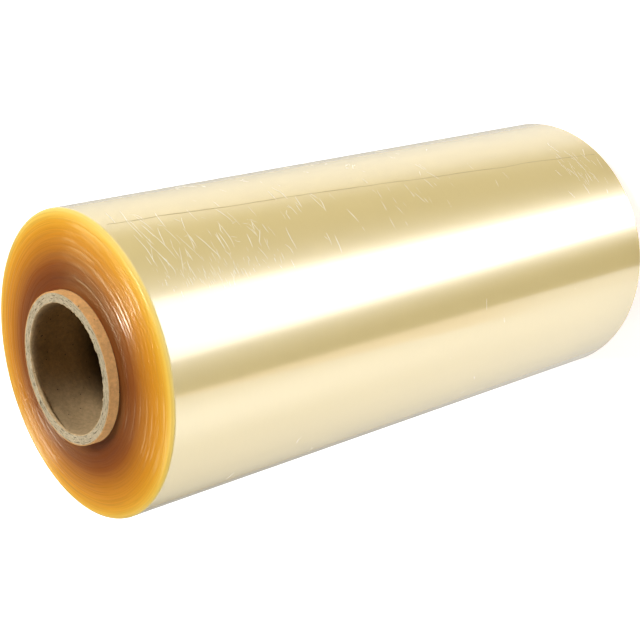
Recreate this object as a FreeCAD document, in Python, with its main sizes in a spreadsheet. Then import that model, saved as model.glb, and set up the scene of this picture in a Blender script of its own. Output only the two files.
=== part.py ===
"""A cling film roll: stretch film wound on a spiral-wound cardboard core.

The roll stands on the end of its core. Z runs up the roll's axis, and the origin is on that axis
in the plane of the core's lower end. All sizes are in millimetres.
"""

import os

import FreeCAD
import Part
import Sketcher

OUT_DIR = "parts"

# Driving dimensions: alias, value, meaning.
SIZES = [
    ("core_bore", 76.2, "bore of the core, the 3 inch standard for wrapping machines"),
    ("board_wall", 6.3, "wall of the core, plies of board glued together"),
    ("core_stub", 10.0, "how far the core stands out past the winding's rim, at each end"),
    ("lip_round", 0.4, "rounding of the core's outer edge, where the liner ply is cut"),
    ("film_width", 400.0, "width of the film at the winding's rim"),
    ("roll_diameter", 180.0, "diameter of the winding"),
    ("face_bulge", 3.7, "how far the innermost turns stand out past the rim, at each end"),
    ("rim_round", 2.5, "rounding of the winding's outer edge"),
]

# Sizes that follow from the driving ones, as spreadsheet formulas.
DERIVED = [
    ("core_length", "=film_width + 2 * core_stub", "length of the core"),
    ("bore_radius", "=core_bore / 2", "inner radius of the core"),
    ("core_radius", "=bore_radius + board_wall", "outer radius of the core, where the film starts"),
    ("roll_radius", "=roll_diameter / 2", "outer radius of the winding"),
    ("rim_low", "=core_stub", "height of the winding's lower rim"),
    ("rim_high", "=core_stub + film_width", "height of the winding's upper rim"),
    ("crown_low", "=rim_low - face_bulge", "height of the innermost turns' lower edge"),
    ("crown_high", "=rim_high + face_bulge", "height of the innermost turns' upper edge"),
]

START, END, CENTRE = 1, 2, 3


def make_sheet(doc):
    """Writes the driving and derived sizes to a spreadsheet, one named cell in each row."""
    sheet = doc.addObject("Spreadsheet::Sheet", "sizes")
    for row, (alias, value, meaning) in enumerate(SIZES + DERIVED, start=1):
        sheet.set(f"A{row}", alias)
        sheet.set(f"B{row}", str(value))
        sheet.set(f"C{row}", meaning)
        sheet.setAlias(f"B{row}", alias)
    doc.recompute()
    return sheet


def origin_item(body, role):
    """Finds a plane or axis of the body's own origin by its role."""
    return next(item for item in body.Origin.OriginFeatures if item.Role == role)


def new_sketch(body, name, plane):
    """Adds an empty sketch on one of the body's origin planes."""
    sketch = body.newObject("Sketcher::SketchObject", name)
    sketch.AttachmentSupport = [(origin_item(body, plane), "")]
    sketch.MapMode = "FlatFace"
    return sketch


def constrain(sketch, name, formula, *args):
    """Adds a named dimension to a sketch and binds it to a formula on the spreadsheet."""
    index = sketch.addConstraint(Sketcher.Constraint(*args))
    sketch.renameConstraint(index, name)
    sketch.setExpression(f"Constraints.{name}", formula)


def round_edges_at(edges, radius):
    """Names the full circles of one radius among a shape's edges, as a feature's references."""
    return [
        f"Edge{number}"
        for number, edge in enumerate(edges, start=1)
        if isinstance(edge.Curve, Part.Circle) and abs(edge.Curve.Radius - radius) < 1e-6
    ]


def make_core(doc, sheet):
    """Cardboard tube: a ring of board, padded to length, with its outer edges eased."""
    body = doc.addObject("PartDesign::Body", "cardboard_core")
    ring = new_sketch(body, "core_ring", "XY_Plane")
    normal = FreeCAD.Vector(0, 0, 1)
    for name, size in (("bore", "bore_radius"), ("outside", "core_radius")):
        circle = Part.Circle(FreeCAD.Vector(0, 0, 0), normal, sheet.get(size))
        index = ring.addGeometry(circle, False)
        ring.addConstraint(Sketcher.Constraint("Coincident", index, CENTRE, -1, START))
        constrain(ring, name, f"sizes.{size}", "Radius", index, sheet.get(size))
    pad = body.newObject("PartDesign::Pad", "core_tube")
    pad.Profile = ring
    pad.setExpression("Length", "sizes.core_length")
    ring.Visibility = False
    doc.recompute()

    eased = body.newObject("PartDesign::Fillet", "core_lips")
    eased.Base = (pad, round_edges_at(pad.Shape.Edges, sheet.core_radius))
    eased.setExpression("Radius", "sizes.lip_round")
    body.Tip = eased
    return body


def crown_arc(sheet, crown, rim):
    """Shallow arc across a winding's end, level at the core and falling away to the rim."""
    run = sheet.roll_radius - sheet.core_radius
    rise = crown - rim
    bend = (run**2 + rise**2) / (2 * rise)
    centre = FreeCAD.Vector(sheet.core_radius, crown - bend, 0)
    circle = Part.Circle(centre, FreeCAD.Vector(0, 0, 1), abs(bend))
    inner = FreeCAD.Vector(sheet.core_radius, crown, 0)
    outer = FreeCAD.Vector(sheet.roll_radius, rim, 0)
    first, last = (outer, inner) if rise > 0 else (inner, outer)
    return Part.ArcOfCircle(circle, circle.parameter(first), circle.parameter(last))


def make_winding(doc, sheet):
    """All the film's turns as one solid: half a section turned about the roll's axis."""
    body = doc.addObject("PartDesign::Body", "film_winding")
    section = new_sketch(body, "winding_section", "XZ_Plane")

    def corner(radius, height):
        return FreeCAD.Vector(sheet.get(radius), sheet.get(height), 0)

    inside, top, outside, bottom = section.addGeometry(
        [
            Part.LineSegment(corner("core_radius", "crown_low"), corner("core_radius", "crown_high")),
            crown_arc(sheet, sheet.crown_high, sheet.rim_high),
            Part.LineSegment(corner("roll_radius", "rim_high"), corner("roll_radius", "rim_low")),
            crown_arc(sheet, sheet.crown_low, sheet.rim_low),
        ],
        False,
    )
    # An arc runs anticlockwise, so the upper one starts at the rim and the lower one at the core.
    for pair in (
        (inside, END, top, END),
        (outside, START, top, START),
        (outside, END, bottom, END),
        (inside, START, bottom, START),
    ):
        section.addConstraint(Sketcher.Constraint("Coincident", *pair))
    for wall in (inside, outside):
        section.addConstraint(Sketcher.Constraint("Vertical", wall))
    for arc in (top, bottom):
        section.addConstraint(Sketcher.Constraint("Vertical", arc, CENTRE, inside, START))
    for name, kind, line, end in (
        ("core_radius", "DistanceX", inside, START),
        ("crown_low", "DistanceY", inside, START),
        ("crown_high", "DistanceY", inside, END),
        ("roll_radius", "DistanceX", outside, START),
        ("rim_high", "DistanceY", outside, START),
        ("rim_low", "DistanceY", outside, END),
    ):
        constrain(section, name, f"sizes.{name}", kind, -1, START, line, end, sheet.get(name))

    turned = body.newObject("PartDesign::Revolution", "winding_turns")
    turned.Profile = section
    turned.ReferenceAxis = (section, ["V_Axis"])
    turned.Angle = 360
    section.Visibility = False
    doc.recompute()

    rounded = body.newObject("PartDesign::Fillet", "winding_rims")
    rounded.Base = (turned, round_edges_at(turned.Shape.Edges, sheet.roll_radius))
    rounded.setExpression("Radius", "sizes.rim_round")
    body.Tip = rounded
    return body


def check(doc, bodies):
    """Stops the build if a feature failed or a sub-part isn't one valid solid."""
    for item in doc.Objects:
        if {"Invalid", "Error"} & set(item.State):
            raise RuntimeError(f"{item.Name} failed to build: {item.State}")
    for body in bodies:
        shape = body.Shape
        if shape.isNull() or not shape.isValid() or len(shape.Solids) != 1:
            raise RuntimeError(f"{body.Label} is not one valid solid")


def main():
    """Builds the document and writes one STEP file for each sub-part."""
    doc = FreeCAD.newDocument("cling_film_roll")
    sheet = make_sheet(doc)
    bodies = [make_core(doc, sheet), make_winding(doc, sheet)]
    doc.recompute()
    check(doc, bodies)
    os.makedirs(OUT_DIR, exist_ok=True)
    for body in bodies:
        body.Shape.exportStep(os.path.join(OUT_DIR, f"{body.Label}.step"))
        print(f"{body.Label}: {body.Shape.Volume:.1f} mm3, {body.Shape.BoundBox.ZLength:.2f} mm long")


main()
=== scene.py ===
"""A cling film roll: stretch film wound tight on a spiral-wound cardboard core.

The roll stands on the end of its core, with Z up its axis. Lengths are metres, and the roll's are written
as millimetres times MM. Angles are degrees, round the axis from +X towards +Y and up from the horizon.
"""

import logging
import math
import random
from dataclasses import dataclass
from enum import Enum
from typing import Any, Callable, Iterable, Iterator, Sequence

import bmesh
import bpy
from bpy.types import Material, Node, NodeSocket, NodeTree, Object
from mathutils import Matrix, Vector

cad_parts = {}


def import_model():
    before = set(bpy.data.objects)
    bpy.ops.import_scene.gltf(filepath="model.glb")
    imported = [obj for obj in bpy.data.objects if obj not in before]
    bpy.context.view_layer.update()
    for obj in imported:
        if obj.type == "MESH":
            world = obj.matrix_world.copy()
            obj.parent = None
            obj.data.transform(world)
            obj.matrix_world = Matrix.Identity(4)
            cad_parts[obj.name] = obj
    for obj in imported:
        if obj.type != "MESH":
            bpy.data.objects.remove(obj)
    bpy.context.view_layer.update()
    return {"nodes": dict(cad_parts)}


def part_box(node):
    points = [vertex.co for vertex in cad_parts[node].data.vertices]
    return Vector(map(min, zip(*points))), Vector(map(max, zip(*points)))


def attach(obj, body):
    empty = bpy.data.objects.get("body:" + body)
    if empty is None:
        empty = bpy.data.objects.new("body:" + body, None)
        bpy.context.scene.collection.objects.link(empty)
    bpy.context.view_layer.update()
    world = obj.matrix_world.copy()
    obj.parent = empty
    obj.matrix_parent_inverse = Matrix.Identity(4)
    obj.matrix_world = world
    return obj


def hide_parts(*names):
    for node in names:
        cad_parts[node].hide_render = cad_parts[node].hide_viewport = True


MM = 0.001
TURN = 2 * math.pi
# Points nearer than this to each other are merged.
SAME_PLACE = 0.001 * MM
# Nearly all of a cloud pattern lies between these two values.
CLOUD = {"From Min": 0.3, "From Max": 0.7}

log = logging.getLogger("cling_film_roll")

Point = tuple[float, float]
Bead = tuple[float, float, float, float]
Colour = tuple[float, float, float, float]
Spread = tuple[float, float, float]
Direction = tuple[float, float, float]


class Seed(Enum):
    """Where each piece's random draws start, so that every run makes the same roll."""

    TURNS = 41
    CREASES = 42
    PLIES = 43
    FILM_END = 44
    FRAYS = 45
    FOLDS = 46

    def draws(self) -> random.Random:
        """A new source of random numbers."""
        return random.Random(self.value)


class End(Enum):
    """The two ends of the roll, by the sign of their outward direction."""

    LOWER = -1
    UPPER = 1


@dataclass(frozen=True)
class Roll:
    """The sizes that the roll's pieces and finishes share."""

    core_radius: float
    core_length: float
    radius: float
    low: float
    high: float
    bore: float = 38.1 * MM
    bulge: float = 3.7 * MM
    rim_round: float = 1.2 * MM

    @classmethod
    def from_frame(cls) -> "Roll":
        """Takes the overall sizes from the frame's two nodes, to a hundredth of a millimetre.

        Returns:
            The roll's sizes. The film's low and high are its rims' heights, which its bulging ends pass.
        """
        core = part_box("cardboard_core")[1]
        bottom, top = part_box("film_winding")
        sizes = (core.x, core.z, top.x, bottom.z + cls.bulge, top.z - cls.bulge)
        return cls(*(round(size / MM, 2) * MM for size in sizes))


# ---------------------------------------------------------------- colour and nodes


def linear(code: str) -> Colour:
    """Turns an sRGB hex colour into the linear colour that a shader takes.

    Args:
        code: The colour as "#rrggbb".

    Returns:
        Red, green, blue and an alpha of 1.
    """
    parts = [int(code[i : i + 2], 16) / 255 for i in (1, 3, 5)]
    r, g, b = (c / 12.92 if c <= 0.04045 else ((c + 0.055) / 1.055) ** 2.4 for c in parts)
    return (r, g, b, 1.0)


def grey(level: float) -> Colour:
    """A neutral linear colour of one level."""
    return (level, level, level, 1.0)


class Nodes:
    """A node tree that is emptied and then built node by node."""

    def __init__(self, tree: NodeTree) -> None:
        """Empties the tree.

        Args:
            tree: The material's or world's node tree.
        """
        self.tree = tree
        tree.nodes.clear()

    def add(self, kind: str, inputs: dict[Any, Any] | Sequence[Any] = (), **settings: Any) -> Node:
        """Adds one node with its settings and its inputs.

        Args:
            kind: The node's type name, without its prefix.
            inputs: NodeSocket name or number to a value, a socket, or a node whose first output is meant. A
                plain sequence fills the sockets in order.
            settings: The node's own settings. stops is a colour ramp's list of place and colour.

        Returns:
            The new node.
        """
        made = self.tree.nodes.new("ShaderNode" + kind)
        stops = settings.pop("stops", [])
        for place, (at, colour) in enumerate(stops):
            elements = made.color_ramp.elements
            ends = {0: 0, len(stops) - 1: -1}
            element = elements[ends[place]] if place in ends else elements.new(at)
            element.position = at
            element.color = colour
        for name, value in settings.items():
            setattr(made, name, value)
        named = inputs if isinstance(inputs, dict) else dict(enumerate(inputs))
        for name, value in named.items():
            socket = made.inputs[name]
            if isinstance(value, Node):
                value = next(s for s in value.outputs if s.enabled)
            if isinstance(value, NodeSocket):
                self.tree.links.new(value, socket)
            else:
                socket.default_value = value
        return made


def new_material(name: str) -> tuple[Material, Nodes]:
    """Makes an empty material.

    Args:
        name: The material's name.

    Returns:
        The material and the nodes to fill it with.
    """
    made = bpy.data.materials.new(name)
    made.use_nodes = True
    return made, Nodes(made.node_tree)


# ---------------------------------------------------------------- modelling by hand


def deselect_all() -> None:
    """Leaves edit mode and clears the selection, so that an operator touches only what comes next."""
    if bpy.context.object and bpy.context.object.mode != "OBJECT":
        bpy.ops.object.mode_set(mode="OBJECT")
    bpy.ops.object.select_all(action="DESELECT")


def make_active(obj: Object) -> None:
    """Makes one object the only selected and active one.

    Args:
        obj: The object.
    """
    deselect_all()
    obj.select_set(True)
    bpy.context.view_layer.objects.active = obj


def select_points(obj: Object, rule: Callable[[Vector], bool]) -> None:
    """Selects, in edit mode, the points that a rule accepts, and the edges and faces between them.

    Args:
        obj: The object being edited.
        rule: Says whether a point's place is wanted.
    """
    bpy.ops.mesh.select_mode(type="VERT")
    bpy.ops.mesh.select_all(action="DESELECT")
    shape = bmesh.from_edit_mesh(obj.data)
    for vert in shape.verts:
        vert.select_set(rule(vert.co))
    shape.select_flush(True)
    bmesh.update_edit_mesh(obj.data)


def turned(name: str, profile: Sequence[Point], steps: int) -> Object:
    """Turns a closed outline about the roll's axis, as on a lathe.

    Args:
        name: The new object's name.
        profile: Radius and height of each corner of the outline, in order.
        steps: How many faces go round.

    Returns:
        A closed mesh with its faces outwards and its origin at the frame's.
    """
    deselect_all()
    bpy.ops.mesh.primitive_plane_add(size=MM, location=(0, 0, 0))
    obj = bpy.context.object
    obj.name = obj.data.name = name
    bpy.ops.object.mode_set(mode="EDIT")
    bpy.ops.mesh.select_all(action="SELECT")
    bpy.ops.mesh.merge(type="CENTER")
    bpy.ops.transform.translate(value=(profile[0][0], 0, profile[0][1]))
    for (r0, z0), (r1, z1) in zip(profile, [*profile[1:], profile[0]]):
        bpy.ops.mesh.extrude_region_move(TRANSFORM_OT_translate={"value": (r1 - r0, 0, z1 - z0)})
    bpy.ops.mesh.select_all(action="SELECT")
    bpy.ops.mesh.remove_doubles(threshold=SAME_PLACE)
    bpy.ops.mesh.select_all(action="SELECT")
    bpy.ops.mesh.spin(steps=steps, angle=TURN, center=(0, 0, 0), axis=(0, 0, 1))
    bpy.ops.mesh.select_all(action="SELECT")
    bpy.ops.mesh.remove_doubles(threshold=SAME_PLACE)
    bpy.ops.mesh.normals_make_consistent(inside=False)
    bpy.ops.object.mode_set(mode="OBJECT")
    return obj


def put_in_group(obj: Object, name: str, weight: Callable[[Vector], float]) -> None:
    """Writes a vertex group from a rule on each point's place.

    Args:
        obj: The mesh object.
        name: The group's name.
        weight: Gives a point's weight from its place. A point whose weight is 0 stays out.
    """
    group = obj.vertex_groups.new(name=name)
    for vert in obj.data.vertices:
        amount = weight(vert.co)
        if amount > 0:
            group.add([vert.index], amount, "REPLACE")


def displace(obj: Object, size: float, strength: float, group: str, axis: str) -> None:
    """Pushes some of a mesh's points about by a cloud pattern, and applies it.

    Args:
        obj: The mesh object.
        size: Width of the pattern's features.
        strength: How far a point moves from one extreme to the other.
        group: The vertex group to keep to.
        axis: The direction of the move.
    """
    pattern = bpy.data.textures.new(f"{obj.name}_unevenness", "CLOUDS")
    pattern.noise_scale = size
    pattern.noise_depth = 2
    make_active(obj)
    step = obj.modifiers.new("unevenness", "DISPLACE")
    step.texture = pattern
    step.texture_coords = "LOCAL"
    step.strength = strength
    step.mid_level = 0.5
    step.direction = axis
    step.vertex_group = group
    bpy.ops.object.modifier_apply(modifier=step.name)


def strands(name: str, thickness: float, lines: Iterable[Sequence[Bead]]) -> Object:
    """Makes thin round strands, each along its own open line.

    Args:
        name: The new object's name.
        thickness: Half of a full-sized strand's width.
        lines: For each strand, its points and their share of the full width.

    Returns:
        All the strands as one mesh.
    """
    curve = bpy.data.curves.new(name, "CURVE")
    curve.dimensions = "3D"
    curve.bevel_depth = thickness
    curve.bevel_resolution = 1
    curve.use_fill_caps = True
    for line in lines:
        spline = curve.splines.new("POLY")
        spline.points.add(len(line) - 1)
        for point, (x, y, z, share) in zip(spline.points, line):
            point.co = (x, y, z, 1.0)
            point.radius = share
    obj = bpy.data.objects.new(name, curve)
    bpy.context.scene.collection.objects.link(obj)
    make_active(obj)
    bpy.ops.object.convert(target="MESH")
    return bpy.context.object


def join(whole: Object, *others: Object) -> None:
    """Joins meshes into one object.

    Args:
        whole: The object that takes in the others and keeps its name.
        others: The objects that become part of it.
    """
    make_active(whole)
    for other in others:
        other.select_set(True)
    bpy.ops.object.join()


def dress(obj: Object, material: Material) -> Object:
    """Gives a piece its one material and smooth shading.

    Args:
        obj: The piece.
        material: Its material.

    Returns:
        The same piece.
    """
    obj.data.materials.clear()
    obj.data.materials.append(material)
    for face in obj.data.polygons:
        face.use_smooth = True
    return obj


def reach(point: Vector) -> float:
    """Distance from the roll's axis."""
    return math.hypot(point.x, point.y)


def bearing(x: float, y: float) -> float:
    """The angle of a place round the roll's axis."""
    return math.degrees(math.atan2(y, x))


def on_roll(radius: float, angle: float, height: float, share: float) -> Bead:
    """A strand's point at a radius, an angle round the roll and a height."""
    turn = math.radians(angle)
    return (radius * math.cos(turn), radius * math.sin(turn), height, share)


def drawn(rng: random.Random, spread: Spread) -> float:
    """Draws a number from a spread's least, commonest and most."""
    least, commonest, most = spread
    return rng.triangular(least, most, commonest)


# ---------------------------------------------------------------- finishes


class Round:
    """The coordinates that a pattern follows on a turned piece."""

    def __init__(self, nodes: Nodes) -> None:
        """Adds the nodes for the place, the height, the radius and the direction from the axis.

        Args:
            nodes: The material's nodes.
        """
        self.nodes = nodes
        self.place = nodes.add("TexCoord").outputs["Object"]
        split = nodes.add("SeparateXYZ", {0: self.place})
        self.height = split.outputs["Z"]
        flat = nodes.add("CombineXYZ", {0: split.outputs["X"], 1: split.outputs["Y"]})
        self.radius = nodes.add("VectorMath", {0: flat}, operation="LENGTH").outputs["Value"]
        self.around = nodes.add("VectorMath", {0: flat}, operation="NORMALIZE")

    def rings(self, wide: float, turns: float, detail: float = 3.0) -> Node:
        """Adds a cloud pattern drawn out round the axis.

        Args:
            wide: The pattern's width across the rings.
            turns: How often the pattern changes in one radian.
            detail: How many finer layers it has.

        Returns:
            The pattern, from 0 to 1.
        """
        spread = self.nodes.add("VectorMath", {0: self.around, "Scale": turns}, operation="SCALE")
        step = self.nodes.add("Math", (self.radius, wide), operation="DIVIDE")
        across = self.nodes.add("CombineXYZ", {2: step})
        spot = self.nodes.add("VectorMath", (spread, across), operation="ADD")
        return self.nodes.add(
            "TexNoise", {"Vector": spot, "Scale": 1.0, "Detail": detail, "Roughness": 0.6}
        )

    def from_end(self, low: float, high: float) -> Node:
        """Adds the distance in from the nearer of a piece's two ends.

        Args:
            low: The lower end's height.
            high: The upper end's height.

        Returns:
            The distance, which is negative outside the piece.
        """
        off = self.nodes.add("Math", (self.height, (low + high) / 2), operation="SUBTRACT")
        away = self.nodes.add("Math", (off,), operation="ABSOLUTE")
        return self.nodes.add("Math", ((high - low) / 2, away), operation="SUBTRACT")


@dataclass(frozen=True)
class WoundFilm:
    """PVC stretch film wound tight into a roll, with its outer side and the cut edges of its turns.

    On the side, dozens of clear films lie one behind another, so it mirrors its surroundings like pale
    gold foil, and each film's fine draw lines smear what it mirrors along the axis. On the ends, the film's
    amber carries a painted glow of light passing down between the turns: yellow at the rim, deepening
    through amber to brown towards the core. The turns' edges lean a little in and out, and each lean
    glints at its own angle.
    """

    roll: Roll
    body: str = "#e7d08e"
    # The rim colour is a painted glow of light let in at the film's ends.
    rim: str = "#ffe492"
    # The rim's painted glow fades from the first of these distances in from an end, and is gone past the
    # second.
    glow: Point = (0.3 * MM, 1.6 * MM)
    grain_long: float = 9 * MM
    grain_wide: float = 0.4 * MM
    grain_deep: float = 0.0012 * MM
    wave_wide: float = 45 * MM
    wave_deep: float = 0.08 * MM
    # The film is a hundredth of a millimetre thick, so its turns are drawn as the bands they form.
    band: float = 0.35 * MM
    band_deep: float = 0.05 * MM
    swell: float = 2.2 * MM
    lean: float = 1.6 * MM
    lean_deep: float = 0.15 * MM
    glint: float = 0.6 * MM
    # The turns' ridges show as far out as the first of these radii, and have faded at the second.
    ridged: Point = (84 * MM, 88 * MM)
    # The colour of an end, by its distance from the axis in millimetres: the film's amber with a painted
    # glow that brightens towards the rim.
    rings: tuple[tuple[float, str], ...] = (
        (43.0, "#6e3612"),
        (48.0, "#7a3e16"),
        (54.0, "#7f4118"),
        (60.0, "#95501a"),
        (64.0, "#ae661d"),
        (68.0, "#c0761d"),
        (72.0, "#d08420"),
        (76.0, "#dc8f21"),
        (80.0, "#e69c25"),
        (84.0, "#f2ad30"),
        (86.0, "#f9be40"),
        (88.0, "#ffd058"),
        (90.5, "#ffde7c"),
    )

    def side(self, nodes: Nodes, at: Round, tangent: Node) -> Node:
        """Adds the shader of the roll's side.

        Args:
            nodes: The material's nodes.
            at: The piece's coordinates.
            tangent: The direction round the axis.

        Returns:
            The shader.
        """
        along = 1 / self.grain_long
        stretched = nodes.add("Mapping", {"Vector": at.place, "Scale": (along, along, 1 / self.grain_wide)})
        grain = nodes.add("TexNoise", {"Vector": stretched, "Scale": 1.0, "Detail": 2.0})
        roughness = nodes.add("MapRange", {"Value": grain, **CLOUD, "To Min": 0.235, "To Max": 0.265})
        # Painted glow: near each end the side's colour blends from the body colour to the rim colour.
        edge = nodes.add(
            "MapRange",
            {
                "Value": at.from_end(self.roll.low, self.roll.high),
                "From Min": self.glow[0],
                "From Max": self.glow[1],
                "To Min": 1.0,
                "To Max": 0.0,
            },
            interpolation_type="SMOOTHSTEP",
        )
        painted_rim_glow = nodes.add(
            "Mix", {"Factor": edge, "A": linear(self.body), "B": linear(self.rim)}, data_type="RGBA"
        )
        shade = nodes.add("MapRange", {"Value": grain, **CLOUD, "To Min": 0.992, "To Max": 1.008})
        grained = nodes.add(
            "VectorMath", {0: painted_rim_glow.outputs["Result"], "Scale": shade.outputs[0]}, operation="SCALE"
        )
        waves = nodes.add("TexNoise", {"Vector": at.place, "Scale": 1 / self.wave_wide, "Detail": 1.0})
        rolling = nodes.add("Bump", {"Height": waves, "Strength": 1.0, "Distance": self.wave_deep})
        lines = nodes.add(
            "Bump", {"Height": grain, "Strength": 1.0, "Distance": self.grain_deep, "Normal": rolling}
        )
        return nodes.add(
            "BsdfPrincipled",
            {
                "Base Color": grained,
                "Roughness": roughness,
                "IOR": 2.0,
                "Anisotropic": 0.9,
                "Anisotropic Rotation": 0.25,
                "Tangent": tangent,
                "Coat Weight": 1.0,
                "Coat Roughness": 0.06,
                "Coat IOR": 1.5,
                "Normal": lines,
            },
        )

    def end(self, nodes: Nodes, at: Round, tangent: Node) -> Node:
        """Adds the shader of the roll's ends.

        Args:
            nodes: The material's nodes.
            at: The piece's coordinates.
            tangent: The direction round the axis.

        Returns:
            The shader.
        """
        bands = at.rings(self.band, 2.5)
        swells = at.rings(self.swell, 1.3)
        leans = at.rings(self.lean, 1.2, 0.0)
        glints = at.rings(self.glint, 2.5, 0.0)
        # The colour's rings wander a little. They also shift with the direction from the axis, as painted
        # shade: darker towards +Y and -X, lighter towards -Y and +X.
        wander = at.radius
        painted_shade_side = nodes.add("SeparateXYZ", {0: at.around})
        for pattern, centre, amount in (
            (bands, 0.5, 1.8 * MM),
            (swells, 0.5, 2.6 * MM),
            # Painted shade and light on opposite sides of the end.
            (painted_shade_side.outputs["Y"], 0.0, -1.2 * MM),
            (painted_shade_side.outputs["X"], 0.0, 0.8 * MM),
        ):
            off = nodes.add("Math", (pattern, centre), operation="SUBTRACT")
            wander = nodes.add("Math", (off, amount, wander), operation="MULTIPLY_ADD")
        low, high = self.rings[0][0], self.rings[-1][0]
        share = nodes.add("MapRange", {"Value": wander, "From Min": low * MM, "From Max": high * MM})
        ramp = nodes.add(
            "ValToRGB",
            {0: share},
            stops=[((spot - low) / (high - low), linear(code)) for spot, code in self.rings],
        )
        inside = nodes.add(
            "MapRange",
            {
                "Value": at.radius,
                "From Min": self.ridged[0],
                "From Max": self.ridged[1],
                "To Min": 1.0,
                "To Max": 0.0,
            },
        )
        ridges = nodes.add("Bump", {"Height": bands, "Strength": inside, "Distance": self.band_deep})
        leaning = nodes.add("Bump", {"Height": leans, "Strength": inside, "Distance": self.lean_deep})
        patchy = nodes.add("MapRange", {"Value": glints, "From Min": 0.5, "From Max": 0.64})
        return nodes.add(
            "BsdfPrincipled",
            {
                "Base Color": ramp,
                "Roughness": 0.33,
                "IOR": 1.5,
                "Specular Tint": (1.0, 0.84, 0.42, 1.0),
                "Anisotropic": 0.9,
                "Anisotropic Rotation": 0.25,
                "Tangent": tangent,
                "Coat Weight": patchy,
                "Coat Roughness": 0.12,
                "Coat IOR": 1.5,
                "Coat Normal": leaning,
                "Normal": ridges,
            },
        )

    def material(self) -> Material:
        """Builds the finish.

        Returns:
            The material.
        """
        made, nodes = new_material("wound_pvc_film")
        at = Round(nodes)
        tangent = nodes.add("Tangent", direction_type="RADIAL", axis="Z")
        # The turn round the rim's rounding, in radians: 0 on the side and a right angle on an end.
        sunk = at.from_end(self.roll.low, self.roll.high)
        inner = nodes.add("Math", (self.roll.rim_round, sunk), operation="SUBTRACT")
        up = nodes.add("Math", (inner, 0.0), operation="MAXIMUM")
        straight = self.roll.radius - self.roll.rim_round
        beyond = nodes.add("Math", (at.radius, straight), operation="SUBTRACT")
        out = nodes.add("Math", (beyond, 0.0001 * MM), operation="MAXIMUM")
        turn = nodes.add("Math", (up, out), operation="ARCTAN2")
        share = nodes.add(
            "MapRange", {"Value": turn, "From Min": 0.15, "From Max": 1.3}, interpolation_type="SMOOTHSTEP"
        )
        both = nodes.add("MixShader", (share, self.side(nodes, at, tangent), self.end(nodes, at, tangent)))
        nodes.add("OutputMaterial", {"Surface": both})
        return made


@dataclass(frozen=True)
class CreasedFilm:
    """Film at a crease or at its cut end: a satin line on the glossy side, painted near white as a
    highlight, or dulled.
    """

    name: str
    colour: str
    roughness: float
    ior: float
    cloud: float = 3 * MM

    def material(self) -> Material:
        """Builds the finish.

        Returns:
            The material.
        """
        made, nodes = new_material(self.name)
        place = nodes.add("TexCoord").outputs["Object"]
        cloudy = nodes.add("TexNoise", {"Vector": place, "Scale": 1 / self.cloud, "Detail": 1.0})
        shade = nodes.add("MapRange", {"Value": cloudy, **CLOUD, "To Min": 0.92, "To Max": 1.0})
        colour = nodes.add(
            "VectorMath", {0: linear(self.colour)[:3], "Scale": shade.outputs[0]}, operation="SCALE"
        )
        shader = nodes.add(
            "BsdfPrincipled", {"Base Color": colour, "Roughness": self.roughness, "IOR": self.ior}
        )
        nodes.add("OutputMaterial", {"Surface": shader})
        return made


# The creases' near-white colour is a painted highlight, for the light that they catch.
CREASE_HIGHLIGHT_FILM = CreasedFilm("crease_painted_highlight", "#fff6dc", 0.45, 2.1)
CUT_FILM = CreasedFilm("cut_film_end", "#b59d62", 0.5, 1.53)


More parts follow.
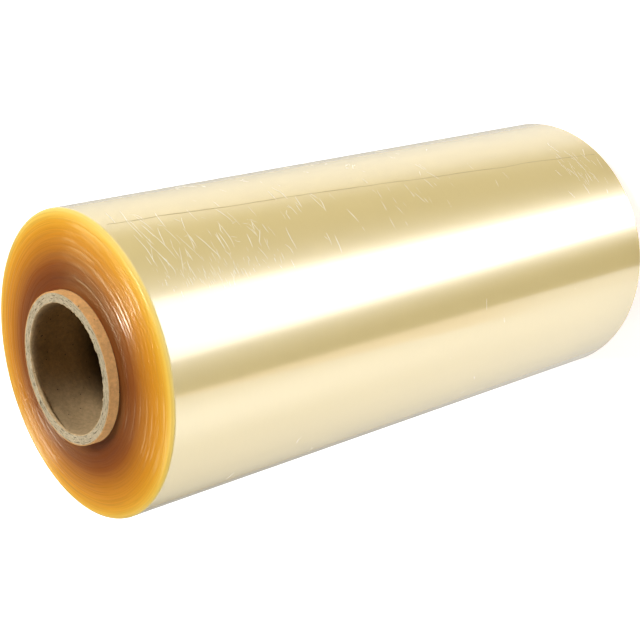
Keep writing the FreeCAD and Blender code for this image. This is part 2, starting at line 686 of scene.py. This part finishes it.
@dataclass(frozen=True)
class CoreBoard:
    """Spiral-wound core board: grey recycled plies glued together, with a kraft liner inside and out.

    The cut end shows the plies as broken dark dashes, the kraft is matt with soft fibre mottling, and both
    hold small dark specks of recycled fibre.
    """

    roll: Roll
    kraft: str = "#dca769"
    liner: str = "#caad82"
    # Painted shade deep inside the bore.
    painted_bore_shade: str = "#4f3d2a"
    plies: str = "#cdbc9b"
    gap: str = "#5d5240"
    speck: str = "#3d3024"
    fibre_wide: float = 2.0 * MM
    fibre_deep: float = 0.3 * MM
    mottle_wide: float = 11 * MM
    speck_wide: float = 1.3 * MM
    dash_wide: float = 0.55 * MM

    def material(self) -> Material:
        """Builds the finish.

        Returns:
            The material.
        """
        made, nodes = new_material("spiral_wound_core_board")
        at = Round(nodes)
        fibres = nodes.add(
            "TexNoise", {"Vector": at.place, "Scale": 1 / self.fibre_wide, "Detail": 5.0, "Roughness": 0.65}
        )
        mottle = nodes.add("TexNoise", {"Vector": at.place, "Scale": 1 / self.mottle_wide, "Detail": 2.0})
        flecks = nodes.add("TexNoise", {"Vector": at.place, "Scale": 1 / self.speck_wide, "Detail": 0.0})
        dashes = at.rings(self.dash_wide, 8.0, 2.0)
        depth = at.from_end(0.0, self.roll.core_length)
        outside, bore = self.roll.core_radius, self.roll.bore
        # Each of these goes from 0 to 1 as its value goes from the first number to the second.
        cut, outer, inner, gap, speck, deep = (
            nodes.add("MapRange", {"Value": value, "From Min": start, "From Max": stop})
            for value, start, stop in (
                (depth, 0.7 * MM, 0.4 * MM),
                (at.radius, outside - 0.9 * MM, outside - 0.6 * MM),
                (at.radius, bore + 0.6 * MM, bore + 0.2 * MM),
                (dashes, 0.54, 0.66),
                (flecks, 0.81, 0.84),
                (depth, 26 * MM, 46 * MM),
            )
        )
        deep.interpolation_type = "SMOOTHSTEP"
        between = nodes.add("Math", (gap, cut), operation="MULTIPLY")
        # Painted shade: the bore's lining darkens between 26 and 46 mm in from the nearer end.
        painted_bore_shade = nodes.add("Math", (deep, inner), operation="MULTIPLY")
        colour: Any = linear(self.plies)
        for share, code in (
            (between, self.gap),
            (inner, self.liner),
            (outer, self.kraft),
            (speck, self.speck),
            (painted_bore_shade, self.painted_bore_shade),
        ):
            mixed = nodes.add("Mix", {"Factor": share, "A": colour, "B": linear(code)}, data_type="RGBA")
            colour = mixed.outputs["Result"]
        for pattern, least, most in ((fibres, 0.8, 1.15), (mottle, 0.88, 1.08)):
            shade = nodes.add("MapRange", {"Value": pattern, **CLOUD, "To Min": least, "To Max": most})
            colour = nodes.add("VectorMath", {0: colour, "Scale": shade.outputs[0]}, operation="SCALE")
        bump = nodes.add("Bump", {"Height": fibres, "Strength": 0.5, "Distance": self.fibre_deep})
        shader = nodes.add(
            "BsdfPrincipled",
            {"Base Color": colour, "Roughness": 0.85, "IOR": 1.5, "Specular IOR Level": 0.3, "Normal": bump},
        )
        nodes.add("OutputMaterial", {"Surface": shader})
        return made


# ---------------------------------------------------------------- the film


@dataclass
class FilmWinding:
    """All the film's turns, with their ridged ends and rounded rims."""

    roll: Roll
    ridge: float = 0.1 * MM
    ridge_wide: Point = (0.45 * MM, 1.1 * MM)
    tight: float = 0.12 * MM
    uneven_wide: float = 30 * MM
    uneven_deep: float = 0.25 * MM
    around: int = 480
    levels: int = 8

    def level(self, end: End) -> float:
        """Height of one end's rim."""
        return self.roll.high if end is End.UPPER else self.roll.low

    def face_line(self, end: End, rng: random.Random) -> list[Point]:
        """Works out the ridged line across one end, from the core to the rim's rounding.

        Args:
            end: Which end.
            rng: The source of the ridges' sizes.

        Returns:
            Radius and height of each ring of turns.
        """
        line = []
        start = radius = self.roll.core_radius
        while radius < self.roll.radius - self.roll.rim_round:
            share = (radius - start) / (self.roll.radius - start)
            crown = self.roll.bulge * (1 - share**2)
            line.append((radius, self.level(end) + end.value * (crown + rng.uniform(-1, 1) * self.ridge)))
            radius += rng.uniform(*self.ridge_wide)
        return line

    def rounding(self, end: End) -> list[Point]:
        """Works out the rounded rim of one end.

        Args:
            end: Which end.

        Returns:
            Radius and height of each corner.
        """
        outer, rim_round, level = self.roll.radius, self.roll.rim_round, self.level(end)
        arc = [
            (outer - rim_round * (1 - math.sin(turn)), level + end.value * rim_round * (math.cos(turn) - 1))
            for turn in (math.radians(angle) for angle in range(0, 91, 18))
        ]
        # A corner close to the rounding keeps the side flat to the eye.
        return arc + [(outer, level - end.value * (rim_round + self.tight))]

    def build(self) -> Object:
        """Models the winding.

        Returns:
            The winding, with its finish.
        """
        rng = Seed.TURNS.draws()
        lower = self.face_line(End.LOWER, rng) + self.rounding(End.LOWER)
        upper = self.face_line(End.UPPER, rng) + self.rounding(End.UPPER)
        bottom, top = lower[-1][1], upper[-1][1]
        outer = self.roll.radius
        side = [(outer, bottom + (top - bottom) * i / self.levels) for i in range(1, self.levels)]
        obj = turned("wound_film", lower + side + upper[::-1], self.around)
        put_in_group(obj, "faces", lambda p: float(reach(p) < outer - 2 * self.roll.rim_round))
        displace(obj, self.uneven_wide, self.uneven_deep, "faces", "Z")
        return dress(obj, WoundFilm(self.roll).material())


@dataclass
class FilmEnd:
    """The film's free end, a cut line that lies across the side a little aslant."""

    roll: Roll
    sunk: float = 0.3 * MM
    width: float = 0.43 * MM
    from_rim: float = 5 * MM
    lower_angle: float = -55.7
    upper_angle: float = -40.7
    count: int = 60

    def build(self) -> Object:
        """Models the end as a low ridge, sunk in the film.

        Returns:
            The ridge.
        """
        rng = Seed.FILM_END.draws()
        low, high = self.roll.low + self.from_rim, self.roll.high - self.from_rim
        line = []
        waver = 0.0
        for i in range(self.count + 1):
            share = i / self.count
            waver = 0.8 * waver + rng.gauss(0.0, 0.14)
            angle = self.lower_angle + (self.upper_angle - self.lower_angle) * share + waver
            height = low + (high - low) * share
            line.append(on_roll(self.roll.radius - self.sunk, angle, height, rng.uniform(0.9, 1.1)))
        return dress(strands("film_end", self.width, [line]), CUT_FILM.material())


@dataclass(frozen=True)
class CreaseField:
    """One patch of the side where handling has creased the film.

    Angles are in degrees and lengths in millimetres. Each spread is its least, its commonest and its most.
    Heading 0 runs round the roll and 90 along it.
    """

    count: int
    angles: Spread
    heights: Spread
    lengths: Spread
    width: float = 1.0
    wander: float = 13.0
    heading: float = 0.0
    forked: float = 0.25


# Creases that take the painted highlight finish.
HIGHLIGHT_CREASES = (
    CreaseField(42, (-79, -66, -38), (335, 388, 404), (6, 12, 34), 0.98, 6, -3, 0.2),
    CreaseField(32, (-78, -64, -42), (235, 320, 372), (5, 10, 24), 0.98, 8, -3, 0.2),
    CreaseField(100, (-80, -75, -64), (305, 375, 404), (2, 4.5, 10), 0.88, 5, 0, 0.08),
    CreaseField(14, (-72, -55, -40), (290, 350, 395), (3, 5, 9), 0.88, 15, 75),
    CreaseField(30, (-76, -60, -40), (75, 200, 290), (3, 8, 18), 0.92, 9, 0, 0.2),
    CreaseField(38, (-79, -68, -48), (15, 38, 70), (3, 9, 22), 0.95, 7, 4, 0.2),
    CreaseField(44, (-40, -16, -4), (60, 330, 400), (2, 5, 12), 0.95, 30),
    CreaseField(80, (-4, 110, 255), (15, 330, 404), (2, 6, 16), 0.9, 20),
    CreaseField(10, (-165, -125, -96), (20, 320, 400), (1.5, 3, 7), 0.74, 18, 0, 0.0),
)
SOFT_FOLDS = (
    CreaseField(22, (-46, -24, -6), (300, 370, 404), (14, 26, 48), 0.84, 22, 0, 0.3),
    CreaseField(12, (-46, -24, -8), (60, 220, 300), (10, 18, 34), 0.8, 25, 0, 0.2),
    CreaseField(16, (0, 120, 240), (20, 300, 400), (12, 24, 44), 0.84, 22, 0, 0.2),
)


@dataclass
class Creases:
    """Creases in the outermost turns, as tapered strands sunk in the side."""

    roll: Roll
    name: str
    material: Material
    fields: tuple[CreaseField, ...]
    seed: Seed
    sunk: float = 0.27 * MM
    thickness: float = 0.42 * MM
    stride: float = 1.3 * MM
    from_rim: float = 4.8 * MM

    def path(
        self, rng: random.Random, angle: float, height: float, heading: float, length: float, width: float
    ) -> list[Bead]:
        """Lays one crease on the side.

        Args:
            rng: The source of the crease's unevenness.
            angle: Where it starts round the roll.
            height: How high it starts.
            heading: The way that it starts, in degrees.
            length: How long it is.
            width: Its share of the full width.

        Returns:
            The crease's points.
        """
        radius = self.roll.radius - self.sunk
        low, high = self.roll.low + self.from_rim, self.roll.high - self.from_rim
        count = max(3, round(length / self.stride))
        step = length / count
        line = []
        for i in range(count + 1):
            taper = math.sin(math.pi * (0.06 + 0.88 * i / count)) ** 0.4
            line.append(on_roll(radius, angle, height, width * taper * rng.uniform(0.88, 1.0)))
            heading += rng.gauss(0.0, 2.5)
            if rng.random() < 0.02:
                heading += rng.choice((-1, 1)) * rng.uniform(15, 40)
            angle += math.degrees(step * math.cos(math.radians(heading)) / radius)
            height = min(max(height + step * math.sin(math.radians(heading)), low), high)
        return line

    def lines(self) -> Iterator[list[Bead]]:
        """Lays every crease, and the forks that leave some of them.

        Yields:
            Each crease's points.
        """
        rng = self.seed.draws()
        for field in self.fields:
            for _ in range(field.count):
                angle = drawn(rng, field.angles)
                height = drawn(rng, field.heights) * MM
                length = drawn(rng, field.lengths) * MM
                heading = field.heading + rng.gauss(0.0, field.wander)
                width = field.width * rng.uniform(0.82, 1.05)
                trunk = self.path(rng, angle, height, heading, length, width)
                yield trunk
                if rng.random() < field.forked:
                    x, y, z, _ = trunk[rng.randrange(1, len(trunk))]
                    heading += rng.choice((-1, 1)) * rng.uniform(12, 40)
                    length *= rng.uniform(0.35, 0.7)
                    yield self.path(rng, bearing(x, y), z, heading, length, width * 0.95)

    def build(self) -> Object:
        """Models the creases.

        Returns:
            The creases as one mesh.
        """
        return dress(strands(self.name, self.thickness, self.lines()), self.material)


# ---------------------------------------------------------------- the core


@dataclass
class CardboardCore:
    """The board tube that the film is wound on, with its cut ends and its frayed mouth."""

    roll: Roll
    ply: float = 0.7 * MM
    ply_flat: float = 0.55
    groove_at: float = 0.78
    groove: float = 0.22 * MM
    ragged: float = 0.08 * MM
    lip: float = 0.4 * MM
    inner_lip: float = 0.15 * MM
    torn: float = 0.6 * MM
    tear_wide: float = 1.3 * MM
    tear_deep: float = 0.45 * MM
    mouth: float = 3 * MM
    mouth_wide: float = 1.8 * MM
    mouth_deep: float = 1.6 * MM
    around: int = 320
    levels: int = 8
    # How deep in the bore its rings of faces lie, in millimetres, close together at the mouth.
    depths: tuple[float, ...] = (0.5, 1.2, 2.2, 3.6, 6.0, *(10.0 + 20.0 * i for i in range(21)))
    # Torn fibres start so many millimetres out from the bore, and swing round it by a few degrees.
    frays: int = 46
    fray_starts: tuple[float, ...] = (0.05, 0.3, 2.0, 4.4)
    fray_swing: float = 2.2
    fray_sag: float = 0.4 * MM
    fray_thick: float = 0.2 * MM
    # The lifted strip of liner lies between these angles.
    peel_angles: Point = (62.0, 152.0)
    peel_deep: float = 2.4 * MM
    peel_sunk: float = 0.5 * MM
    peel_lift: float = 0.4 * MM
    peel_thick: float = 0.25 * MM

    def cut_end(self, end: End, rng: random.Random) -> list[Point]:
        """Works out the line across one cut end, with a groove between each ply and the next.

        Args:
            end: Which end.
            rng: The source of the plies' unevenness.

        Returns:
            Radius and height of each corner, from the bore outwards.
        """
        level = self.roll.core_length if end is End.UPPER else 0.0
        outside = self.roll.core_radius
        line = [(self.roll.bore, self.inner_lip)]
        radius = self.roll.bore + 0.2 * MM
        while radius < outside - self.lip - self.ply * 0.6:
            line.append((radius, rng.uniform(0.0, self.ragged)))
            line.append((radius + self.ply * self.ply_flat, rng.uniform(0.0, self.ragged)))
            line.append((radius + self.ply * self.groove_at, self.groove * rng.uniform(0.4, 1.0)))
            radius += self.ply
        line += [(outside - self.lip, 0.0), (outside - self.lip * 0.3, self.lip * 0.3), (outside, self.lip)]
        return [(radius, level - end.value * deep) for radius, deep in line]

    def tube(self) -> Object:
        """Models the tube, with its upper mouth a little ragged.

        Returns:
            The tube.
        """
        rng = Seed.PLIES.draws()
        bore, outside, length = self.roll.bore, self.roll.core_radius, self.roll.core_length
        # The roll stands on its lower end, so that end's plies are pressed flat.
        low = [(r, 0.0) if r < outside - self.lip else (r, z) for r, z in self.cut_end(End.LOWER, rng)]
        high = self.cut_end(End.UPPER, rng)
        side = [(outside, length * i / self.levels) for i in range(1, self.levels)]
        wall = [(bore, length - depth * MM) for depth in self.depths]
        obj = turned("core_tube", low + side + high[::-1] + wall, self.around)
        inside, rim = bore + 0.5 * MM, outside - 0.3 * MM
        cut, mouth = length - self.torn, length - self.mouth
        put_in_group(obj, "cut", lambda p: float(p.z > cut and reach(p) < rim))
        put_in_group(
            obj, "mouth", lambda p: float(reach(p) < inside) * max(0.0, (p.z - mouth) / (length - mouth))
        )
        displace(obj, self.tear_wide, -self.tear_deep, "cut", "Z")
        displace(obj, self.mouth_wide, self.mouth_deep, "mouth", "NORMAL")
        return obj

    def fibres(self) -> Iterator[list[Bead]]:
        """Lays the torn fibres round the mouth's two edges.

        Yields:
            Each fibre's points.
        """
        rng = Seed.FRAYS.draws()
        for _ in range(self.frays):
            angle = rng.uniform(0, 360)
            radius = self.roll.bore + rng.choice(self.fray_starts) * MM
            level = self.roll.core_length - rng.uniform(0.1, 0.35) * MM
            swing = rng.uniform(-1, 1) * self.fray_swing
            inward = rng.uniform(0.0, 0.7) * MM if radius < self.roll.bore + MM else 0.0
            yield [
                on_roll(radius - inward * s, angle + swing * s, level - self.fray_sag * s * s, 1.2 - s)
                for s in (0.0, 0.35, 0.7, 1.0)
            ]

    def peel(self) -> Object:
        """Models the stretch of inner liner that has come away from the plies at the mouth.

        Returns:
            The strip, with its thickness.
        """
        bore, length, deep = self.roll.bore, self.roll.core_length, self.peel_deep
        start, stop = self.peel_angles
        deselect_all()
        bpy.ops.mesh.primitive_cylinder_add(
            vertices=self.around,
            radius=bore - 0.45 * MM,
            depth=deep,
            end_fill_type="NOTHING",
            location=(0, 0, length - self.peel_sunk - deep / 2),
        )
        obj = bpy.context.object
        obj.name = "lifted_liner"
        bpy.ops.object.transform_apply(location=True, rotation=True, scale=True)
        bpy.ops.object.mode_set(mode="EDIT")
        select_points(obj, lambda p: not start < bearing(p.x, p.y) < stop)
        bpy.ops.mesh.delete(type="VERT")
        bpy.ops.object.mode_set(mode="OBJECT")
        # The strip rises from the wall at its ends, and its lower edge dips and wavers.
        for vert in obj.data.vertices:
            angle = bearing(vert.co.x, vert.co.y)
            share = 1 - ((2 * angle - start - stop) / (stop - start)) ** 2
            if vert.co.z < length - deep:
                wave = 0.5 * math.sin(angle / 4.7) + 0.3 * math.sin(angle / 1.9)
                vert.co.z += (1.9 * (1 - share) + 0.3 * wave) * MM
            push = (bore - self.peel_lift * share) / reach(vert.co)
            vert.co.x *= push
            vert.co.y *= push
        thick = obj.modifiers.new("thickness", "SOLIDIFY")
        thick.thickness = self.peel_thick
        thick.offset = 1.0
        make_active(obj)
        bpy.ops.object.modifier_apply(modifier=thick.name)
        return obj

    def build(self) -> Object:
        """Models the core.

        Returns:
            The core, with its finish.
        """
        obj = self.tube()
        join(obj, strands("torn_fibres", self.fray_thick, self.fibres()), self.peel())
        return dress(obj, CoreBoard(self.roll).material())


# ---------------------------------------------------------------- studio


def aim(azimuth: float, height: float) -> Vector:
    """The direction at an angle round the roll and an angle above the horizon."""
    a, e = math.radians(azimuth), math.radians(height)
    return Vector((math.cos(a) * math.cos(e), math.sin(a) * math.cos(e), math.sin(e)))


@dataclass(frozen=True)
class Edge:
    """A soft edge along a plane, by the plane's normal and the places where its step starts and stops."""

    normal: Direction | Vector
    start: float
    stop: float


@dataclass(frozen=True)
class Spot:
    """A small round lamp that only gloss mirrors. Its size is half of the angle that it fills."""

    azimuth: float
    height: float
    size: float
    brightness: float
    tint: tuple[float, float, float]


@dataclass(frozen=True)
class Lamp:
    """A square soft lamp that looks at the roll, by its direction, its side and its power in watts."""

    name: str
    azimuth: float
    height: float
    size: float
    power: float
    distance: float = 6.0
    aim_height: float = 0.3

    def hang(self) -> None:
        """Hangs the lamp. Gloss doesn't mirror it, because the studio's walls stand for it there."""
        away = aim(self.azimuth, self.height)
        deselect_all()
        bpy.ops.object.light_add(
            type="AREA", location=Vector((0, 0, self.aim_height)) + away * self.distance
        )
        lamp = bpy.context.object
        lamp.name = self.name
        lamp.rotation_euler = away.to_track_quat("Z", "Y").to_euler()
        lamp.data.shape = "SQUARE"
        lamp.data.size = self.size
        lamp.data.energy = self.power
        lamp.visible_camera = lamp.visible_glossy = False


@dataclass
class Surroundings:
    """The world: white to the eye, soft to dull surfaces, and a studio to glossy ones.

    Gloss on the roll mirrors one tall softbox, and pale walls on either side of it. A panel lists angles
    round the roll and the brightness at each, where 1 is white.
    """

    soft_light: float = 25.0
    soft_fade: float = 42.0
    soft_lean: Point = (-0.42, -0.5)
    brightest: float = 8.0
    softbox_angle: float = -79.7
    # Its width is a share of its panel's: so much at the horizon, less so much for each degree down from
    # there, and no more above its head.
    softbox_width: float = 1.96
    softbox_narrowing: float = 0.022
    softbox_head: float = -26.0
    # Between these heights it also slims to a last share of that width, and dims as the share to a power.
    softbox_slim: Point = (-31.0, -22.5)
    softbox_slimmest: float = 0.4
    softbox_dimming: float = 1.6
    softbox_panel: tuple[Point, ...] = (
        (-180, 0), (-121, 0), (-117, 0.15), (-113, 0.5), (-109, 0.9), (-105, 1.6), (-101.5, 3.0),
        (-98, 8.0), (-65, 8.0), (-61, 3.4), (-55, 1.6), (-49, 0.8), (-44, 0.4), (-39, 0.2), (-32, 0.05),
        (-26, 0), (180, 0),
    )
    upper_panel: tuple[Point, ...] = (
        (-180, 0), (-60, 0), (-50, 1.25), (11, 1.25), (31, 1.15), (51, 0.82), (67, 0.6), (74, 0.68),
        (78, 0.95), (81, 1.3), (94, 1.3), (99, 0.8), (111, 0.42), (128, 0.12), (150, 0), (180, 0),
    )
    upper_edge: Edge = Edge((-0.284, 0.907, -0.309), -0.17, 0.17)
    lower_edge: Edge = Edge((-0.834, 0.542, 0.105), 0.03, 0.05)
    # The lower wall is brightest in one direction, and its places are cosines of the angle from there.
    lower_facing: Direction = (-0.75, -0.433, -0.5)
    lower_panel: tuple[Point, ...] = (
        (0.0, 0), (0.2, 0), (0.3, 0.2), (0.4, 0.5), (0.667, 1.0), (0.9, 1.6), (0.934, 1.75), (0.956, 1.95),
        (0.978, 2.3), (1.0, 3.0),
    )
    warm: Colour = (0.95, 0.68, 0.5, 1.0)
    warm_side: Edge = Edge((0.861, -0.253, -0.442), -0.095, -0.07)
    warm_foot: Edge = Edge((0.0, 0.0, 1.0), -0.755, -0.7)
    # Overhead the room is this dim, and it dims over so many degrees on each side of the horizon.
    overhead: float = 0.08
    horizon: float = 8.0
    spots: tuple[Spot, ...] = (
        Spot(83, 45, 2.2, 42.0, (1.0, 0.95, 0.85)),
        Spot(105, 45, 6.0, 3.4, (1.0, 0.9, 0.6)),
        Spot(74, 42, 11.0, 2.4, (1.0, 0.9, 0.5)),
        Spot(93.5, 15, 3.2, 6.0, (1.0, 0.95, 0.75)),
    )

    def __post_init__(self) -> None:
        """Makes the world and the nodes for the direction that is looked in."""
        world = bpy.data.worlds.new("studio")
        world.use_nodes = True
        bpy.context.scene.world = world
        self.nodes = Nodes(world.node_tree)
        self.look = self.nodes.add("TexCoord").outputs["Generated"]
        split = self.nodes.add("SeparateXYZ", {0: self.look})
        self.x, self.y, self.z = split.outputs
        radians = self.nodes.add("Math", (self.y, self.x), operation="ARCTAN2")
        self.angle = self.nodes.add("Math", (radians, 360 / TURN), operation="MULTIPLY")
        rise = self.nodes.add("Math", (self.z,), operation="ARCSINE")
        self.height = self.nodes.add("Math", (rise, 360 / TURN), operation="MULTIPLY")

    def panel(self, place: Any, stops: Sequence[Point], least: float, most: float) -> Node:
        """Adds a band of brightness.

        Args:
            place: The place across the band, as a node or socket.
            stops: Each place and its brightness, in order.
            least: The place where the band starts.
            most: The place where it ends.

        Returns:
            A colour ramp, in which the brightest panel is 1.
        """
        span = most - least
        share = self.nodes.add("Math", (place, 1 / span, -least / span), operation="MULTIPLY_ADD")
        return self.nodes.add(
            "ValToRGB",
            {0: share},
            stops=[((at - least) / span, grey(level / self.brightest)) for at, level in stops],
        )

    def toward(self, way: Direction | Vector) -> NodeSocket:
        """Adds how far the direction that is looked in goes one way, from -1 to 1."""
        return self.nodes.add(
            "VectorMath", (self.look, Vector(way)), operation="DOT_PRODUCT"
        ).outputs["Value"]

    def past(self, edge: Edge) -> Node:
        """Adds a soft step from one side of a plane to the other.

        Args:
            edge: The step's plane and places.

        Returns:
            A node that goes from 0 to 1.
        """
        return self.nodes.add(
            "MapRange",
            {"Value": self.toward(edge.normal), "From Min": edge.start, "From Max": edge.stop},
            interpolation_type="SMOOTHSTEP",
        )

    def softbox(self) -> Node:
        """Adds the softbox, between two dark gaps: it narrows downwards, and is slim near the horizon.

        Returns:
            Its light.
        """
        nodes = self.nodes
        slim = nodes.add(
            "MapRange",
            {
                "Value": self.height,
                "From Min": self.softbox_slim[0],
                "From Max": self.softbox_slim[1],
                "To Min": 1.0,
                "To Max": self.softbox_slimmest,
            },
            interpolation_type="SMOOTHSTEP",
        )
        low = nodes.add("Math", (self.height, self.softbox_head), operation="MINIMUM")
        narrowing = nodes.add(
            "Math", (low, self.softbox_narrowing, self.softbox_width), operation="MULTIPLY_ADD"
        )
        wide = nodes.add("Math", (narrowing, slim), operation="MULTIPLY")
        off = nodes.add("Math", (self.angle, self.softbox_angle), operation="SUBTRACT")
        across = nodes.add("Math", (off, wide), operation="DIVIDE")
        place = nodes.add("Math", (across, self.softbox_angle), operation="ADD")
        box = self.panel(place, self.softbox_panel, -180, 180)
        dim = nodes.add("Math", (slim, self.softbox_dimming), operation="POWER")
        return nodes.add("VectorMath", {0: box, "Scale": dim.outputs[0]}, operation="SCALE")

    def upper_wall(self) -> Node:
        """Adds the wall on the +X side, which fades out downwards.

        Returns:
            Its light.
        """
        wall = self.panel(self.angle, self.upper_panel, -180, 180)
        fade = self.past(self.upper_edge)
        return self.nodes.add("VectorMath", {0: wall, "Scale": fade}, operation="SCALE")

    def lower_wall(self) -> Node:
        """Adds the wall on the -X side, with a sharp edge, a bright patch and one warm reflection.

        Returns:
            Its light.
        """
        nodes = self.nodes
        wall = self.panel(self.toward(self.lower_facing), self.lower_panel, 0, 1)
        warm_side, warm_foot = self.past(self.warm_side), self.past(self.warm_foot)
        warming = nodes.add("Math", (warm_side, warm_foot), operation="MULTIPLY")
        tint = nodes.add("Mix", {"Factor": warming, "A": grey(1.0), "B": self.warm}, data_type="RGBA")
        edge = self.past(self.lower_edge)
        cut = nodes.add("VectorMath", {0: wall, "Scale": edge}, operation="SCALE")
        return nodes.add("VectorMath", (cut, tint.outputs["Result"]), operation="MULTIPLY")

    def mirrored(self) -> Node:
        """Adds what gloss mirrors: the walls and the softbox, dim overhead but for a few small lamps.

        Returns:
            The background shader.
        """
        nodes = self.nodes
        walls = nodes.add("VectorMath", (self.upper_wall(), self.lower_wall()), operation="ADD")
        room = nodes.add("VectorMath", (walls, self.softbox()), operation="ADD")
        below = nodes.add(
            "MapRange",
            {
                "Value": self.height,
                "From Min": self.horizon,
                "From Max": -self.horizon,
                "To Min": self.overhead,
                "To Max": 1.0,
            },
        )
        light = nodes.add("VectorMath", {0: room, "Scale": below}, operation="SCALE")
        for spot in self.spots:
            rim = math.cos(math.radians(spot.size))
            shape = self.past(Edge(aim(spot.azimuth, spot.height), rim, (1 + 2 * rim) / 3))
            colour = Vector(spot.tint) * spot.brightness / self.brightest
            lamp = nodes.add("VectorMath", {0: colour, "Scale": shape.outputs[0]}, operation="SCALE")
            light = nodes.add("VectorMath", (light, lamp), operation="ADD")
        return nodes.add("Background", {"Color": light, "Strength": self.brightest})

    def soft(self) -> Node:
        """Adds what lights dull surfaces: light from just above the horizon, and most from -X and -Y.

        Returns:
            The background shader.
        """
        nodes = self.nodes
        upward = nodes.add("Math", (self.z, 0.0), operation="MAXIMUM")
        low_down = nodes.add("Math", (1.0, upward), operation="SUBTRACT")
        fading = nodes.add("Math", (low_down, self.soft_fade), operation="POWER")
        above = nodes.add("Math", (self.z, 0.0), operation="GREATER_THAN")
        shown = nodes.add("Math", (fading, above), operation="MULTIPLY")
        from_x = nodes.add("Math", (self.x, self.soft_lean[0], 1.0), operation="MULTIPLY_ADD")
        from_xy = nodes.add("Math", (self.y, self.soft_lean[1], from_x), operation="MULTIPLY_ADD")
        sideways = nodes.add("Math", (from_xy, self.soft_light), operation="MULTIPLY")
        strength = nodes.add("Math", (shown, sideways), operation="MULTIPLY")
        return nodes.add("Background", {"Color": grey(1.0), "Strength": strength})

    def build(self) -> None:
        """Shows each kind of ray its own surroundings."""
        seen = self.nodes.add("Background", {"Color": grey(1.0), "Strength": 1.0})
        path = self.nodes.add("LightPath")
        glossy, camera = path.outputs["Is Glossy Ray"], path.outputs["Is Camera Ray"]
        lit = self.nodes.add("MixShader", (glossy, self.soft(), self.mirrored()))
        both = self.nodes.add("MixShader", (camera, lit, seen))
        self.nodes.add("OutputWorld", {"Surface": both})


@dataclass
class Studio:
    """A white studio, with its floor, its lamps and the camera, which looks down and is rolled."""

    floor_size: float = 24.0
    floor_paint: float = 0.85
    shadow_lift: float = 0.84
    shadow_start: float = 0.6
    shadow_end: float = 1.4
    lamps: tuple[Lamp, ...] = (
        Lamp("main_lamp", 5, 52, 2.6, 325),
        Lamp("back_lamp", 80, 40, 0.68, 105),
        Lamp("fill_lamp", 125, 20, 2.6, 90),
    )
    camera_place: tuple[float, float, float] = (-10.9 * MM, -698.6 * MM, 801.0 * MM)
    camera_down: float = 39.096
    camera_roll: float = -105.273
    camera_lens: float = 78.6

    def floor(self) -> None:
        """Lays the plain white floor, which gloss looks through to the studio beyond."""
        deselect_all()
        bpy.ops.mesh.primitive_plane_add(size=self.floor_size, location=(0, 0, 0))
        floor = bpy.context.object
        floor.name = "floor"
        made, nodes = new_material("white_floor")
        path = nodes.add("LightPath")
        paint = nodes.add("BsdfDiffuse", {"Color": grey(self.floor_paint)})
        place = nodes.add("TexCoord").outputs["Object"]
        away = nodes.add("VectorMath", {0: place}, operation="LENGTH").outputs["Value"]
        # To the eye the floor is white, and its shadows are faint and end near the roll.
        white = nodes.add(
            "MapRange",
            {
                "Value": away,
                "From Min": self.shadow_start,
                "From Max": self.shadow_end,
                "To Min": self.shadow_lift,
                "To Max": 1.0,
            },
        )
        lift = nodes.add("Math", (path.outputs["Is Camera Ray"], white), operation="MULTIPLY")
        glow = nodes.add("Emission", {"Color": grey(1.0), "Strength": lift})
        lit = nodes.add("AddShader", (paint, glow))
        clear = nodes.add("BsdfTransparent")
        both = nodes.add("MixShader", (path.outputs["Is Glossy Ray"], lit, clear))
        nodes.add("OutputMaterial", {"Surface": both})
        floor.data.materials.append(made)

    def camera(self) -> None:
        """Sets the camera above the standing roll, turned so that the roll lies across the picture."""
        data = bpy.data.cameras.new("camera")
        data.sensor_width = 36.0
        data.lens = self.camera_lens
        data.clip_start = 0.05
        data.clip_end = 60.0
        camera = bpy.data.objects.new("camera", data)
        tilt = Matrix.Rotation(math.radians(90 - self.camera_down), 4, "X")
        roll = Matrix.Rotation(math.radians(self.camera_roll), 4, "Z")
        camera.matrix_world = Matrix.Translation(self.camera_place) @ tilt @ roll
        bpy.context.scene.collection.objects.link(camera)
        bpy.context.scene.camera = camera

    def build(self) -> None:
        """Builds the surroundings, the floor, the lamps and the camera."""
        Surroundings().build()
        self.floor()
        for lamp in self.lamps:
            lamp.hang()
        self.camera()
        bpy.context.scene.view_settings.view_transform = "Standard"


# ---------------------------------------------------------------- building


def main() -> None:
    """Builds the studio and the roll around the frame."""
    logging.basicConfig(level=logging.INFO, format="%(message)s")
    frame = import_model()
    log.info("frame nodes: %s", ", ".join(sorted(frame["nodes"])))
    Studio().build()
    roll = Roll.from_frame()
    winding = FilmWinding(roll).build()
    film = winding.data.materials[0]
    creases = Creases(roll, "creases", CREASE_HIGHLIGHT_FILM.material(), HIGHLIGHT_CREASES, Seed.CREASES).build()
    folds = Creases(roll, "soft_folds", film, SOFT_FOLDS, Seed.FOLDS, sunk=0.32 * MM).build()
    join(winding, creases, folds, FilmEnd(roll).build())
    core = CardboardCore(roll).build()
    for piece, node, slot in (
        (winding, "film_winding", "wound_film"),
        (core, "cardboard_core", "core_board"),
    ):
        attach(piece, "root")
        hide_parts(node)
        log.info("%s stands for %s: %d faces", piece.name, node, len(piece.data.polygons))


if __name__ == "__main__":
    main()
